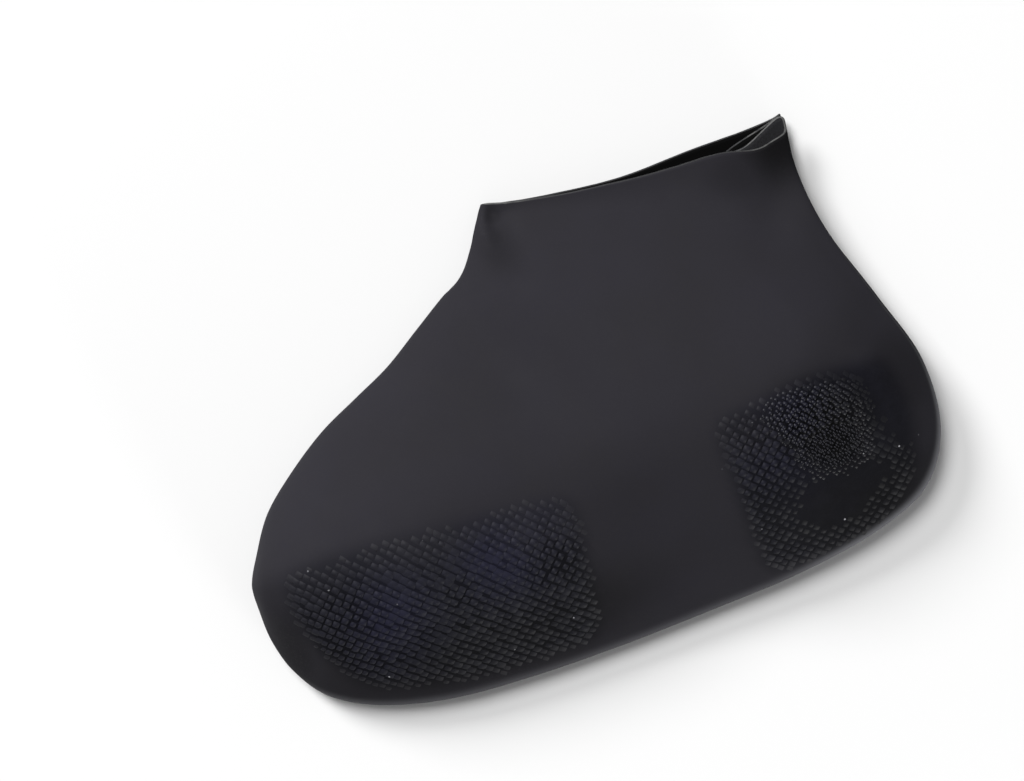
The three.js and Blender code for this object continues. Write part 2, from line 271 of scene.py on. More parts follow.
def outer_points(around, place):
    """Points of the outer face, as an array of x, y, z, with x and y from the outline's own corner."""
    s, f = station_at(place), form_at(around)
    front = np.stack([s["front_along"] * FOOT_LENGTH, s["front_up"] * LEG_HEIGHT], -1)
    back = np.stack([s["back_along"] * FOOT_LENGTH, s["back_up"] * LEG_HEIGHT], -1)
    chord = back - front
    width = np.maximum(np.linalg.norm(chord, axis=-1), MM)
    plain = mix(f["foot_across"], f["mouth_across"], s["leg"])
    before_crown = plain / CROWN_ACROSS * s["crown"]
    past_crown = mix(s["crown"], 1, (plain - CROWN_ACROSS) / (1 - CROWN_ACROSS))
    across = np.where(plain < CROWN_ACROSS, before_crown, past_crown)
    across = across - f["tuck"] * s["rim"] * TUCK_DEPTH / width
    dip = f["dip"] * s["rim"] * RIM_DIP / width
    x = front[..., 0] + chord[..., 0] * across + chord[..., 1] * dip
    y = front[..., 1] + chord[..., 1] * across - chord[..., 0] * dip
    height = np.maximum(mix(f["foot_height"], f["mouth_height"], s["leg"]), 0)
    floor = s["floor"] * LOFT + s["rim"] * RIM_LIFT
    crest = mix(s["crest"] * LOFT, MOUTH_GAP, s["rim"])
    pressed = smoothstep(height, DENT_FROM, DENT_FULL)
    z = floor + height * (crest - floor) - pressed * (1 - s["rim"]) * dent_depth(x, y, DENTS)
    fine = dent_depth(x, y, FINE_DENTS) + (1 - s["rim"]) * slack(x, y)
    return np.stack([x, y, z - pressed * fine], -1)


def outer_normals(around, place, step=0.002):
    ahead = outer_points(around + step, place) - outer_points(around - step, place)
    upward = outer_points(around, place + step) - outer_points(around, place - step)
    normal = np.cross(ahead, upward)
    return normal / np.linalg.norm(normal, axis=-1, keepdims=True)


heel_top = outer_points(np.array([5.0]), np.array([11.0]))[0, 2]
print("height of the heel's crest, mm:", round(float(heel_top) / MM, 1))

# %% [markdown]
# ## The treads' outlines
#
# The two treads are areas of the same film, so they are described by their outlines seen from above. The
# film rises a little there, as a soft-edged pad, and the knobs then stand on it. A signed distance to the
# outline tells each point how far inside a tread it is.

# %% Write the treads' outlines and measure distances to them
TREADS = {
    "ball": [
        (0.045, 0.32), (0.056, 0.227), (0.082, 0.145), (0.129, 0.081), (0.252, 0.036), (0.384, 0.03),
        (0.447, 0.05), (0.465, 0.2), (0.464, 0.35), (0.37, 0.375), (0.2, 0.39), (0.07, 0.385),
    ],
    "heel": [
        (0.686, 0.405), (0.77, 0.428), (0.83, 0.438), (0.9, 0.438), (0.945, 0.42), (0.959, 0.315),
        (0.951, 0.21), (0.928, 0.15), (0.887, 0.085), (0.82, 0.058), (0.708, 0.056), (0.69, 0.13),
        (0.683, 0.27),
    ],
}
OUTLINE_STEPS = 6


def smooth_outline(name):
    corners = np.array(TREADS[name], float) * (FOOT_LENGTH, LEG_HEIGHT)
    table = np.vstack([corners[-2:], corners, corners[:3]])
    places = np.arange(len(corners) * OUTLINE_STEPS) / OUTLINE_STEPS
    return smooth_rows(table, places)


def depth_inside(name, x, y):
    """Distance to a tread's outline, in metres: more than 0 inside it, less than 0 outside."""
    start = smooth_outline(name)
    end = np.roll(start, -1, axis=0)
    nearest = np.full(np.shape(x), np.inf)
    inside = np.zeros(np.shape(x), bool)
    for (ax, ay), (bx, by) in zip(start, end):
        ex, ey = bx - ax, by - ay
        share = np.clip(((x - ax) * ex + (y - ay) * ey) / (ex * ex + ey * ey), 0, 1)
        nearest = np.minimum(nearest, np.hypot(x - ax - share * ex, y - ay - share * ey))
        crosses = (ay > y) != (by > y)
        inside ^= crosses & (x < ax + (y - ay) * ex / (ey if ey else 1))
    return np.where(inside, nearest, -nearest)


for tread_name in TREADS:
    spread = np.ptp(smooth_outline(tread_name), axis=0)
    print(tread_name, "tread seen from above, mm:", [round(float(v) / MM, 1) for v in spread])

# %% [markdown]
# ## Building the film
#
# The outer face is a grid of rings with a point at the toe tip. It could be one modelled skin inside and
# out, but a Solidify modifier gives the wall its even thickness, which is just what dipping does.

# %% Build the film as a mesh
AROUND_STEPS = 168
ALONG_STEPS = 190
PAD_RAISE = 0.3 * MM
PAD_EDGE = 4 * MM
TREAD_TINT = (-3 * MM, 6 * MM)
UPPER_LAYER = (1.5, 13.5)


def depth_in_treads(x, y):
    return np.maximum(*(depth_inside(name, x, y) for name in TREADS))


def film_grid():
    """The points of the outer face, the tread's tint there, and their places round and along."""
    place = np.linspace(0, LAST_STATION, ALONG_STEPS + 1)[1:]
    around = np.arange(AROUND_STEPS) / AROUND_STEPS * len(FORM)
    around, place = np.meshgrid(around, place)
    points = outer_points(around, place)
    inside = depth_in_treads(points[..., 0], points[..., 1])
    upper = (around > UPPER_LAYER[0]) & (around < UPPER_LAYER[1])
    raised = np.where(upper, smoothstep(inside, -PAD_EDGE / 2, PAD_EDGE), 0)
    tinted = np.where(upper, smoothstep(inside, *TREAD_TINT), 0)
    points = points + raised[..., None] * PAD_RAISE * outer_normals(around, place)
    tip = outer_points(np.zeros(1), np.zeros(1))
    everywhere = np.vstack([tip, points.reshape(-1, 3)])
    return everywhere, *(np.append(0, values.ravel()) for values in (tinted, around, place))


def film_faces():
    def at(ring, step):
        return 1 + ring * AROUND_STEPS + step % AROUND_STEPS

    faces = [(0, at(0, i + 1), at(0, i)) for i in range(AROUND_STEPS)]
    for j in range(ALONG_STEPS - 1):
        for i in range(AROUND_STEPS):
            faces.append((at(j, i), at(j, i + 1), at(j + 1, i + 1), at(j + 1, i)))
    return faces


def mesh_object(name, points, faces, edges=()):
    mesh = bpy.data.meshes.new(name)
    mesh.from_pydata([tuple(p) for p in points], list(edges), faces)
    mesh.update()
    mesh.shade_smooth()
    thing = bpy.data.objects.new(name, mesh)
    bpy.context.scene.collection.objects.link(thing)
    return thing


def store(mesh, name, values):
    attribute = mesh.attributes.new(name, "FLOAT", "POINT")
    attribute.data.foreach_set("value", np.asarray(values, np.float32).ravel())


film_points, film_tread, film_around, film_place = film_grid()
SHIFT = np.array([cad_low.x, cad_low.y, cad_low.z - film_points[:, 2].min()])
film = mesh_object("latex_film", film_points + SHIFT, film_faces())
wall = film.modifiers.new("wall", "SOLIDIFY")
wall.thickness = WALL
wall.offset = -1
print("film faces:", len(film.data.polygons))

# %% [markdown]
# ## Wear, dust and shade
#
# A used tread isn't the same all over. This one is smooth in places, puckered in the middle of the heel
# and faint along its upper edges. That could be painted by hand, but tables of soft round spots are short,
# and one row can be changed without touching the rest. Three more marks on the film go by the place round
# the ring and along the foot: the pleat's pocket, painted dark as shade, its dusty lining, and the pale
# edge of the sole, which is a painted reflection of the white floor.

# %% Describe the wear of the treads
# along, up, half length, half height, all as shares, and the strength
WORN = [
    (0.815, 0.168, 0.075, 0.08, 1.25),  # smooth hollow low in the heel
    (0.866, 0.192, 0.055, 0.05, 1.15),
    (0.945, 0.36, 0.062, 0.17, 1.25),  # smooth back of the heel
    (0.72, 0.405, 0.05, 0.035, 0.55),
    (0.91, 0.45, 0.07, 0.06, 1.0),
    (0.24, 0.1, 0.06, 0.035, 0.3),
    (0.36, 0.09, 0.07, 0.04, 0.3),
    (0.12, 0.385, 0.12, 0.045, 0.75),  # the ball's faint upper edge
    (0.3, 0.38, 0.12, 0.04, 0.7),
    (0.44, 0.36, 0.06, 0.04, 0.6),
]
CRISP = [
    (0.115, 0.258, 0.055, 0.075, 1.0),
    (0.1, 0.17, 0.07, 0.09, 1.0),
    (0.283, 0.225, 0.025, 0.035, 0.8),
    (0.42, 0.221, 0.045, 0.09, 1.0),
    (0.74, 0.2, 0.06, 0.16, 1.0),
    (0.752, 0.35, 0.06, 0.08, 1.0),
    (0.87, 0.1, 0.08, 0.06, 0.8),
    (0.94, 0.2, 0.03, 0.06, 0.9),
]
PEBBLED = [
    (0.837, 0.345, 0.075, 0.075, 1.0),
    (0.837, 0.275, 0.06, 0.075, 1.0),
    (0.79, 0.38, 0.05, 0.05, 0.8),
]
GRAINED = [(0.837, 0.28, 0.045, 0.052, 1.0)]
BLUISH = [
    (0.17, 0.21, 0.07, 0.1, 0.9),
    (0.351, 0.277, 0.06, 0.1, 0.9),
    (0.409, 0.314, 0.05, 0.08, 0.8),
    (0.792, 0.37, 0.07, 0.08, 1.0),
    (0.755, 0.31, 0.06, 0.12, 0.6),
]
# Painted shade: each spot darkens the film towards the shaded colour, under the back corner of the mouth, in
# the dimple by the front corner, between the puckers, and on the treads' lower parts and sides, which face
# away from the light. Two weaker spots darken the left edges of the toe and of the leg.
DARKENED = [
    (0.9, 0.95, 0.06, 0.11, 0.85),  # under the back corner of the mouth
    (0.83, 0.89, 0.045, 0.05, 0.3),
    (0.485, 0.97, 0.012, 0.022, 0.34),  # dimple by the front corner
    (0.837, 0.285, 0.055, 0.068, 1.0),  # between the puckers
    (0.83, 0.335, 0.088, 0.1, 1.0),
    (0.935, 0.29, 0.05, 0.12, 0.3),
    (0.48, 0.89, 0.03, 0.06, 0.3),
    (0.957, 0.38, 0.045, 0.1, 0.5),
    (0.93, 0.49, 0.04, 0.08, 0.15),
    (0.03, 0.22, 0.028, 0.1, 0.4),
    (0.3, 0.11, 0.22, 0.09, 0.75),  # the treads' lower parts
    (0.85, 0.15, 0.13, 0.11, 0.8),
    (0.73, 0.2, 0.05, 0.14, 0.15),
]
# Dust with painted highlights: these spots raise the powder bloom along the lower edges of the toe and the
# sole, and on the fold under the front corner, where edges catch the light.
DUST_AND_EDGE_LIGHT = [
    (0.02, 0.18, 0.03, 0.12, 1.0),
    (0.3, 0.0, 0.06, 0.03, 0.8),
    (0.466, 0.95, 0.005, 0.05, 0.8),
]
FADED = [
    (0.42, 0.33, 0.08, 0.08, 0.5),
    (0.28, 0.36, 0.15, 0.05, 0.4),
    (0.73, 0.37, 0.05, 0.06, 0.5),
    (0.1, 0.36, 0.08, 0.05, 0.3),
]
# Painted highlights on the rolled bead, at the back and the front corner of the mouth.
PAINTED_BEAD_HIGHLIGHTS = [(0.905, 0.96, 0.055, 0.12, 1.0), (0.495, 0.995, 0.035, 0.06, 1.0)]
FIRM_SPOT, SOFT_SPOT = 1.5, 1.0  # how suddenly a spot ends
CRISP_SHADE = 0.5
POLISH = 0.6


def spots(table, x, y, hardness=FIRM_SPOT):
    """The strongest of several soft round spots at each point. A strength over 1 widens the middle."""
    value = np.zeros_like(x)
    for along, up, length, height, strength in table:
        dx = (x - along * FOOT_LENGTH) / (length * FOOT_LENGTH)
        dy = (y - up * LEG_HEIGHT) / (height * LEG_HEIGHT)
        value = np.maximum(value, strength * np.exp(-((dx * dx + dy * dy) ** hardness)))
    return value


def worn_smooth(x, y):
    """How far the tread is worn smooth at each point, from 0 to 1."""
    return np.minimum(spots(WORN, x, y, SOFT_SPOT), 1)


def wear(x, y, tint):
    """What the material has to know at each point of the film or of a patch on it."""
    return {
        "tread": tint * (1 - spots(FADED, x, y)),
        "blue": spots(BLUISH, x, y, SOFT_SPOT),
        "dust": spots(DUST_AND_EDGE_LIGHT, x, y),
        "dark": np.maximum(spots(DARKENED, x, y), CRISP_SHADE * tint * spots(CRISP, x, y)),
        "polish": POLISH * worn_smooth(x, y),
    }


def window(value, low, high, blur):
    """1 between two values, and down to 0 over a blur on either side."""
    return smoothstep(value, low - blur, low) * (1 - smoothstep(value, high, high + blur))


# %% Mark the film
# from, to and blur: round the ring as places in FORM, along the foot as stations
NEAR_RIM = (16.8, 18)
POCKET_AROUND = (13.2, 15.9, 0.5)
LINING_AROUND = (9.5, 12.8, 0.7)
SOLE_EDGE_AROUND = (11.95, 14.5, 1.8)
SOLE_ALONG = (4, 13.4, 1)
HEEL_ALONG = (10.8, 13.2, 1.2)
POCKET_SHADE = 0.9
SOLE_FLOOR_REFLECTION, HEEL_FLOOR_REFLECTION = 0.4, 0.6


def film_marks():
    marks = wear(film_points[:, 0], film_points[:, 1], film_tread)
    near_rim = smoothstep(film_place, *NEAR_RIM)
    pocket = near_rim * window(film_around, *POCKET_AROUND)
    marks["dark"] = np.maximum(marks["dark"], POCKET_SHADE * pocket)
    marks["lining"] = near_rim * window(film_around, *LINING_AROUND)
    # The pale edge of the sole is a painted reflection of the white floor.
    along_sole = SOLE_FLOOR_REFLECTION * window(film_place, *SOLE_ALONG)
    along_heel = HEEL_FLOOR_REFLECTION * window(film_place, *HEEL_ALONG)
    marks["pale"] = window(film_around, *SOLE_EDGE_AROUND) * (along_sole + along_heel)
    marks["pocket"] = pocket
    return marks


marks_on_film = film_marks()
for name, values in marks_on_film.items():
    store(film.data, name, values)
print("marks on the film:", ", ".join(marks_on_film))

# %% [markdown]
# ## A flat map of each tread
#
# The knobs stand in an even square grid, so the grid has to be laid on the curved film without stretching.
# We drop a fine grid of rays on the film from above, and give each point a map position that counts the
# real length of surface from the middle: steep places get more knobs than they would seen from above.
# Attributes on this patch say how tall, how long or how worn the knobs are. The knobs fade out at the
# tread's edge, and where the film falls away steeply.

# %% Lay a patch on the film for each tread
PATCH_STEP = 1.0 * MM
PATCH_MARGIN = 3.5 * MM
ABOVE = 0.2
PEBBLE_FADE = (0.25, 0.6)
GRAIN_FADE = (0.4, 0.6)
KNOB_FADE = (-2 * MM, 6 * MM)
TOO_STEEP = (0.9, 1.7)
film_tree = BVHTree.FromPolygons(
    [tuple(v.co) for v in film.data.vertices], [tuple(p.vertices) for p in film.data.polygons]
)


def surface_below(x, y):
    hit, *_ = film_tree.ray_cast(Vector((x, y, ABOVE)), Vector((0, 0, -1)))
    return hit.z if hit is not None else None


def tread_patch(name):
    outline = smooth_outline(name)
    low, high = outline.min(0) - PATCH_MARGIN, outline.max(0) + PATCH_MARGIN
    xs, ys = (np.arange(low[k], high[k], PATCH_STEP) for k in range(2))
    x, y = np.meshgrid(xs, ys, indexing="ij")
    inside = depth_inside(name, x, y)
    z = np.zeros_like(x)
    for index, _ in np.ndenumerate(x):
        level = surface_below(x[index] + SHIFT[0], y[index] + SHIFT[1])
        z[index] = np.nan if level is None or inside[index] < -PATCH_MARGIN else level
    filled = np.where(np.isnan(z), np.nanmin(z), z)
    along = np.cumsum(np.hypot(PATCH_STEP, np.diff(filled, axis=0, prepend=filled[:1])), axis=0)
    up = np.cumsum(np.hypot(PATCH_STEP, np.diff(filled, axis=1, prepend=filled[:, :1])), axis=1)
    middle = tuple(n // 2 for n in x.shape)
    along = along - along[middle[0]]
    up = up - up[:, middle[1]][:, None]
    number = np.full(x.shape, -1)
    kept = ~np.isnan(z)
    number[kept] = np.arange(kept.sum())
    corners = np.stack([number[:-1, :-1], number[1:, :-1], number[1:, 1:], number[:-1, 1:]], -1)
    faces = [tuple(int(n) for n in f) for f in corners.reshape(-1, 4) if f.min() >= 0]
    points = np.stack([x[kept] + SHIFT[0], y[kept] + SHIFT[1], z[kept]], -1)
    patch = mesh_object(f"{name}_patch", points, faces)
    plan = np.stack([along[kept], up[kept]], -1)
    uv = patch.data.uv_layers.new(name="plan")
    corner_vertices = np.zeros(len(patch.data.loops), int)
    patch.data.loops.foreach_get("vertex_index", corner_vertices)
    uv.data.foreach_set("uv", plan[corner_vertices].astype(np.float32).ravel())
    px, py = x[kept], y[kept]
    slope = np.hypot(*np.gradient(filled, PATCH_STEP))[kept]
    edge = smoothstep(inside[kept], *KNOB_FADE) * (1 - smoothstep(slope, *TOO_STEEP))
    unworn = edge * (1 - worn_smooth(px, py))
    pebbled = smoothstep(spots(PEBBLED, px, py), *PEBBLE_FADE)
    fine = smoothstep(spots(GRAINED, px, py), *GRAIN_FADE)
    store(patch.data, "amount", unworn * (1 - pebbled))
    store(patch.data, "pebbles", unworn * pebbled * (1 - fine))
    store(patch.data, "grain", edge * fine)
    store(patch.data, "ridged", 1 - spots(CRISP, px, py))
    for name, values in wear(px, py, smoothstep(inside[kept], *TREAD_TINT)).items():
        store(patch.data, name, values)
    return patch, plan.max(0) - plan.min(0), (plan.max(0) + plan.min(0)) / 2


patches = {name: tread_patch(name) for name in TREADS}
for name, (patch, extent, _) in patches.items():
    print(name, "tread laid out flat, mm:", [round(v / MM, 1) for v in extent])

# %% [markdown]
# ## One knob
#
# A knob is a rounded square cushion. It is repeated well over a thousand times, so it has only a few
# dozen faces. Its foot is closed and sinks into the film, so no gap can show. The foot slopes outwards,
# because an upright wall round a low, worn knob would catch the light as a pale outline.

# %% Model the knob
KNOB_GRID = 4
KNOB_FOOT = -0.5
FOOT_SPREAD = 1.3
DOME_POWER = 3.2  # higher is squarer
CORNER_PULL = 0.1


def knob_object():
    steps = np.linspace(-1, 1, KNOB_GRID + 1)
    points, faces = [], []
    for v in steps:
        for u in steps:
            dome = (1 - abs(u) ** DOME_POWER) * (1 - abs(v) ** DOME_POWER)
            pull = 1 - CORNER_PULL * (u * u) * (v * v)
            points.append((0.5 * u * pull, 0.5 * v * pull, dome))
    side = KNOB_GRID + 1
    for j in range(KNOB_GRID):
        for i in range(KNOB_GRID):
            a = j * side + i
            faces.append((a, a + 1, a + side + 1, a + side))
    border = list(range(side))
    border += [j * side + KNOB_GRID for j in range(1, side)]
    border += [KNOB_GRID * side + i for i in range(KNOB_GRID - 1, -1, -1)]
    border += [j * side for j in range(KNOB_GRID - 1, 0, -1)]
    foot = len(points)
    points += [(points[n][0] * FOOT_SPREAD, points[n][1] * FOOT_SPREAD, KNOB_FOOT) for n in border]
    for k in range(len(border)):
        after = (k + 1) % len(border)
        faces.append((border[after], border[k], foot + k, foot + after))
    faces.append(tuple(foot + k for k in range(len(border) - 1, -1, -1)))
    return mesh_object("knob", points, faces)


knob = knob_object()
print("faces in a knob:", len(knob.data.polygons))

# %% [markdown]
# ## A tree that lays knobs on a patch
#
# Geometry Nodes repeat the knob. The tree makes a flat square grid of points, turns it by 45 degrees, and
# looks each point up on the patch's map with Sample UV Surface. That gives the point's place, its normal
# and its wear. What falls off the map, or where no knob is left, is deleted. A worn knob comes out lower
# and narrower, so that it melts into the film. The tree ends by making the instances real and giving them
# their material, because instances would be lost on export.

# %% Helpers for building node trees
class Tree:
    """A geometry node tree with named inputs, and short ways to add and link nodes."""

    def __init__(self, name, sizes, objects=(), materials=()):
        self.tree = bpy.data.node_groups.new(name, "GeometryNodeTree")
        face = self.tree.interface
        face.new_socket("Geometry", in_out="INPUT", socket_type="NodeSocketGeometry")
        face.new_socket("Geometry", in_out="OUTPUT", socket_type="NodeSocketGeometry")
        self.inputs = {}
        for label in sizes:
            self.inputs[label] = face.new_socket(label, in_out="INPUT", socket_type="NodeSocketFloat")
        for label in objects:
            self.inputs[label] = face.new_socket(label, in_out="INPUT", socket_type="NodeSocketObject")
        for label in materials:
            self.inputs[label] = face.new_socket(label, in_out="INPUT", socket_type="NodeSocketMaterial")
        self.given = self.tree.nodes.new("NodeGroupInput")
        self.result = self.tree.nodes.new("NodeGroupOutput")

    def add(self, kind, links=None, **settings):
        node = self.tree.nodes.new(kind)
        for key, value in settings.items():
            setattr(node, key, value)
        for key, value in (links or {}).items():
            socket = node.inputs[key]
            if isinstance(value, bpy.types.NodeSocket):
                self.tree.links.new(value, socket)
            else:
                socket.default_value = value
        return node

    def math(self, operation, a, b=0.0):
        return self.add("ShaderNodeMath", {0: a, 1: b}, operation=operation).outputs[0]

    def vector(self, x=0.0, y=0.0, z=0.0):
        return self.add("ShaderNodeCombineXYZ", {0: x, 1: y, 2: z}).outputs[0]

    def chance(self, low, high, seed):
        links = {"Min": low, "Max": high, "Seed": seed}
        node = self.add("FunctionNodeRandomValue", data_type="FLOAT")
        for key, value in links.items():
            socket = next(s for s in node.inputs if s.name == key and s.enabled)
            if isinstance(value, bpy.types.NodeSocket):
                self.tree.links.new(value, socket)
            else:
                socket.default_value = value
        return next(s for s in node.outputs if s.enabled)

    def named(self, name, kind="FLOAT"):
        return self.add("GeometryNodeInputNamedAttribute", {"Name": name}, data_type=kind).outputs[0]

    def finish(self, geometry, material):
        real = self.add("GeometryNodeRealizeInstances", {"Geometry": geometry})
        smooth = self.add("GeometryNodeSetShadeSmooth", {"Geometry": real.outputs[0]})
        painted = self.add("GeometryNodeSetMaterial", {"Geometry": smooth.outputs[0], "Material": material})
        self.tree.links.new(painted.outputs[0], self.result.inputs[0])

    def apply(self, thing, values, name):
        """Runs the tree on an object, and gives back a plain mesh object that holds what it made."""
        modifier = thing.modifiers.new(name, "NODES")
        modifier.node_group = self.tree
        for label, value in values.items():
            modifier[self.inputs[label].identifier] = value
        evaluated = thing.evaluated_get(bpy.context.evaluated_depsgraph_get())
        mesh = bpy.data.meshes.new_from_object(evaluated)
        thing.modifiers.remove(modifier)
        made = bpy.data.objects.new(name, mesh)
        mesh.name = name
        bpy.context.scene.collection.objects.link(made)
        return made


# %% Build the knobs' tree
KNOB_SIZES = (
    "Extent Along", "Extent Up", "Middle Along", "Middle Up", "Pitch", "Turn", "Width", "Height",
    "Ridge Stretch", "Unevenness", "Height Luck", "Least Amount", "Seed",
)
CARRIED = ("ridged", "tread", "blue", "dark")
KNOB_WIDTHS = (0.78, 1.06)
KNOB_LOSSES = (0.4, 1.0)
WORN_WIDTH = 0.6
CRISP_HEIGHT = 1.3


def knob_tree(amount_name):
    t = Tree(f"knobs by {amount_name}", KNOB_SIZES, objects=["Knob"], materials=["Material"])
    size = t.given.outputs
    patch = size["Geometry"]
    reach = t.math("ADD", size["Extent Along"], size["Extent Up"])
    count = t.math("CEIL", t.math("DIVIDE", reach, size["Pitch"]))
    side = t.math("MULTIPLY", t.math("SUBTRACT", count, 1.0), size["Pitch"])
    grid_links = {"Size X": side, "Size Y": side, "Vertices X": count, "Vertices Y": count}
    grid = t.add("GeometryNodeMeshGrid", grid_links)
    middle = t.vector(size["Middle Along"], size["Middle Up"])
    turn = t.vector(z=size["Turn"])
    turned = t.add(
        "GeometryNodeTransform", {"Geometry": grid.outputs["Mesh"], "Translation": middle, "Rotation": turn}
    )
    shove = t.math("MULTIPLY", size["Unevenness"], size["Pitch"])
    back = t.math("MULTIPLY", shove, -1.0)
    jitter = t.add(
        "FunctionNodeRandomValue",
        {"Min": t.vector(back, back), "Max": t.vector(shove, shove), "Seed": size["Seed"]},
        data_type="FLOAT_VECTOR",
    )
    moved = t.add("GeometryNodeSetPosition", {"Geometry": turned.outputs[0], "Offset": jitter.outputs[0]})
    spot = t.add("GeometryNodeInputPosition").outputs[0]
    plan = t.named("plan", "FLOAT_VECTOR")

    def on_patch(value, kind):
        return t.add(
            "GeometryNodeSampleUVSurface",
            {"Mesh": patch, "Value": value, "UV Map": plan, "Sample UV": spot},
            data_type=kind,
        )

    place = on_patch(t.add("GeometryNodeInputPosition").outputs[0], "FLOAT_VECTOR")
    normal = on_patch(t.add("GeometryNodeInputNormal").outputs[0], "FLOAT_VECTOR")
    amount = on_patch(t.named(amount_name), "FLOAT")
    found = [
        ("place", place, "FLOAT_VECTOR"), ("up", normal, "FLOAT_VECTOR"), ("size", amount, "FLOAT"),
        *((name, on_patch(t.named(name), "FLOAT"), "FLOAT") for name in CARRIED),
    ]
    kept = moved.outputs[0]
    for name, node, kind in found:
        links = {"Geometry": kept, "Name": name, "Value": node.outputs[0]}
        kept = t.add("GeometryNodeStoreNamedAttribute", links, data_type=kind).outputs[0]
    links = {"Geometry": kept, "Name": "there", "Value": place.outputs[1]}
    kept = t.add("GeometryNodeStoreNamedAttribute", links, data_type="BOOLEAN").outputs[0]
    luck = t.chance(1.0, size["Height Luck"], size["Seed"])
    width_luck = t.chance(*KNOB_WIDTHS, t.math("ADD", size["Seed"], 1.0))
    loss = t.chance(*KNOB_LOSSES, t.math("ADD", size["Seed"], 2.0))
    spare = t.math("MULTIPLY", t.named("size"), loss)
    gone = t.add("FunctionNodeBooleanMath", {0: t.named("there", "BOOLEAN")}, operation="NOT").outputs[0]
    low = t.add(
        "FunctionNodeCompare", {"A": spare, "B": size["Least Amount"]}, operation="LESS_THAN"
    ).outputs[0]
    either = t.add("FunctionNodeBooleanMath", {0: gone, 1: low}, operation="OR").outputs[0]
    kept = t.add("GeometryNodeDeleteGeometry", {"Geometry": kept, "Selection": either}).outputs[0]
    kept = t.add("GeometryNodeSetPosition", {"Geometry": kept, "Position": t.named("place", "FLOAT_VECTOR")})
    groove = t.vector(t.math("COSINE", size["Turn"]), t.math("SINE", size["Turn"]))
    facing = t.add(
        "FunctionNodeAxesToRotation",
        {"Primary Axis": t.named("up", "FLOAT_VECTOR"), "Secondary Axis": groove},
        primary_axis="Z",
        secondary_axis="X",
    )
    longer = t.math("MULTIPLY", t.named("ridged"), size["Ridge Stretch"])
    worn_off = t.math("ADD", WORN_WIDTH, t.math("MULTIPLY", t.named("size"), 1 - WORN_WIDTH))
    wide = t.math("MULTIPLY", t.math("MULTIPLY", size["Width"], width_luck), worn_off)
    long_side = t.math("MULTIPLY", wide, t.math("ADD", longer, 1.0))
    crisp = t.math("SUBTRACT", CRISP_HEIGHT, t.math("MULTIPLY", t.named("ridged"), CRISP_HEIGHT - 1))
    height_left = t.math("MULTIPLY", size["Height"], t.named("size"))
    tall = t.math("MULTIPLY", height_left, t.math("MULTIPLY", luck, crisp))
    source = t.add("GeometryNodeObjectInfo", {"Object": size["Knob"]})
    knobs = t.add(
        "GeometryNodeInstanceOnPoints",
        {
            "Points": kept.outputs[0],
            "Instance": source.outputs["Geometry"],
            "Rotation": facing.outputs[0],
            "Scale": t.vector(long_side, wide, tall),
        },
    )
    t.finish(knobs.outputs[0], size["Material"])
    return t


print("knob tree inputs:", len(KNOB_SIZES))

# %% [markdown]
# ## Latex, as a material
#
# Matt black latex isn't one flat colour. Dipping leaves it slightly mottled, the powder that stops it
# sticking leaves a grey bloom and a few white specks, and the surface is finely pitted. Along some edges
# the bloom is raised into a painted highlight, and on the tread the white specks also stand in for
# painted glints. The tread is the same rubber, but it looks darker and bluer, because its grooves swallow
# the light; their darker colour is painted shade. Colour, roughness and bump are all driven by noise on
# object coordinates, so the pattern stays on the rubber in every view.
#
# One finish covers the film's outside but for the pleat's pocket, and the treads' darker colour fades in
# by an attribute. Two finishes meeting face by face would show as a jagged line. The knobs and pebbles
# stand out by shining a little more. The inside is painted nearly black as shade, in the pleat's pocket
# too, and the rolled edge has a painted highlight at its sharp folds. Painted shade also darkens the film
# where shade falls, and a painted reflection of the white floor lightens the edge of the sole.

# %% Mix the latex
def linear(red, green, blue):
    """A colour read off in screen values, 0 to 255, as the linear values that a shader needs."""
    screen = np.array([red, green, blue]) / 255
    light = np.where(screen <= 0.04045, screen / 12.92, ((screen + 0.055) / 1.055) ** 2.4)
    return (*light, 1.0)


class Finish:
    """A material with short ways to add and link shader nodes."""

    def __init__(self, name):
        self.material = bpy.data.materials.new(name)
        self.material.use_nodes = True
        self.nodes = self.material.node_tree.nodes
        self.shader = self.nodes["Principled BSDF"]
        self.place = self.nodes.new("ShaderNodeTexCoord").outputs["Object"]

    def add(self, kind, links=None, **settings):
        node = self.nodes.new(kind)
        for key, value in settings.items():
            setattr(node, key, value)
        for key, value in (links or {}).items():
            self.link(value, node.inputs[key])
        return node

    def link(self, value, socket):
        if isinstance(value, bpy.types.NodeSocket):
            self.material.node_tree.links.new(value, socket)
        else:
            socket.default_value = value

    def noise(self, size, detail=3.0, roughness=0.55):
        links = {"Vector": self.place, "Scale": 1 / size, "Detail": detail, "Roughness": roughness}
        return self.add("ShaderNodeTexNoise", links).outputs["Fac"]

    def ranged(self, value, low, high, new_low=0.0, new_high=1.0):
        links = {"Value": value, "From Min": low, "From Max": high, "To Min": new_low, "To Max": new_high}
        return self.add("ShaderNodeMapRange", links).outputs["Result"]

    def blend(self, share, a, b):
        links = {"Factor": share, "A": a, "B": b}
        node = self.nodes.new("ShaderNodeMix")
        node.data_type = "RGBA"
        for key, value in links.items():
            sockets = [s for s in node.inputs if s.name == key and s.enabled]
            self.link(value, sockets[0])
        return next(s for s in node.outputs if s.enabled)

    def times(self, a, b):
        return self.add("ShaderNodeMath", {0: a, 1: b}, operation="MULTIPLY").outputs[0]

    def attribute(self, name):
        return self.add("ShaderNodeAttribute", attribute_name=name).outputs["Fac"]

    def bump(self, height, distance, strength, under=None):
        links = {"Height": height, "Distance": distance, "Strength": strength}
        if under is not None:
            links["Normal"] = under
        return self.add("ShaderNodeBump", links).outputs["Normal"]


BODY = (linear(37, 36, 40), linear(38, 37, 42))
KNOBS = (linear(29, 29, 36), linear(28, 28, 46))
